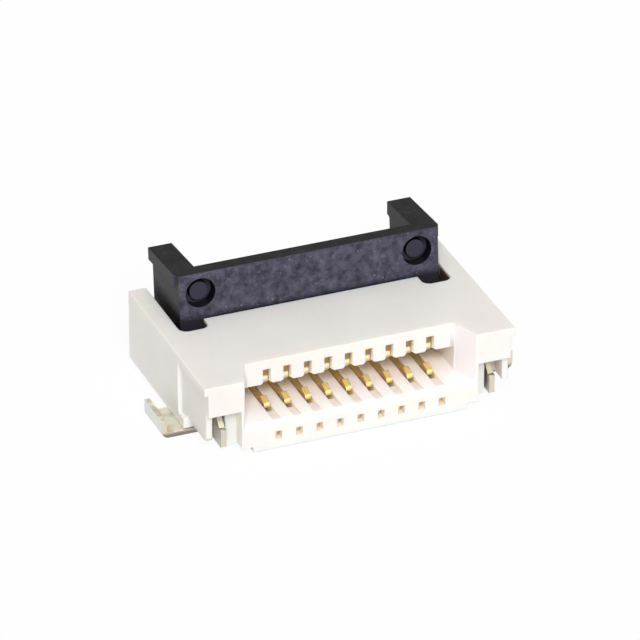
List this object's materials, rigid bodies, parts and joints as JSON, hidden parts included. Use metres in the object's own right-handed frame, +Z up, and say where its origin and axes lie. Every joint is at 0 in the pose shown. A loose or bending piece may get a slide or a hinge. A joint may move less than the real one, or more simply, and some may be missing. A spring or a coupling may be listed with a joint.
{
  "type": "fpc connector",
  "caption": "Low board connector for a flat film cable, with a rear lever that flips up to release the film and folds flat to clamp it.",
  "frame": {"origin": "on the board, under the middle of the housing's width and depth", "axes": "+X along the row of contacts, -Y out of the mouth that takes the film, +Z up from the board"},
  "size_m": [0.0086, 0.0052, 0.003],
  "materials": {
    "housing_plastic": "moulded, off-white",
    "lever_plastic": "moulded, black",
    "contact_metal": "gold plated",
    "hold_down_metal": "tin plated"
  },
  "bodies": {
    "base": {"housing": "housing_plastic", "contact_1": "contact_metal", "contact_2": "contact_metal", "contact_3": "contact_metal", "contact_4": "contact_metal", "contact_5": "contact_metal", "contact_6": "contact_metal", "contact_7": "contact_metal", "contact_8": "contact_metal", "contact_9": "contact_metal", "hold_down_left": "hold_down_metal", "hold_down_right": "hold_down_metal"},
    "lever": {"lever": "lever_plastic"}
  },
  "joints": [
    {"name": "lever_hinge", "type": "hinge", "parent": "base", "child": "lever", "pos_m": [0, 0.00107, 0.00145], "axis": [-1, 0, 0], "range_deg": [0, 85.7]}
  ]
}
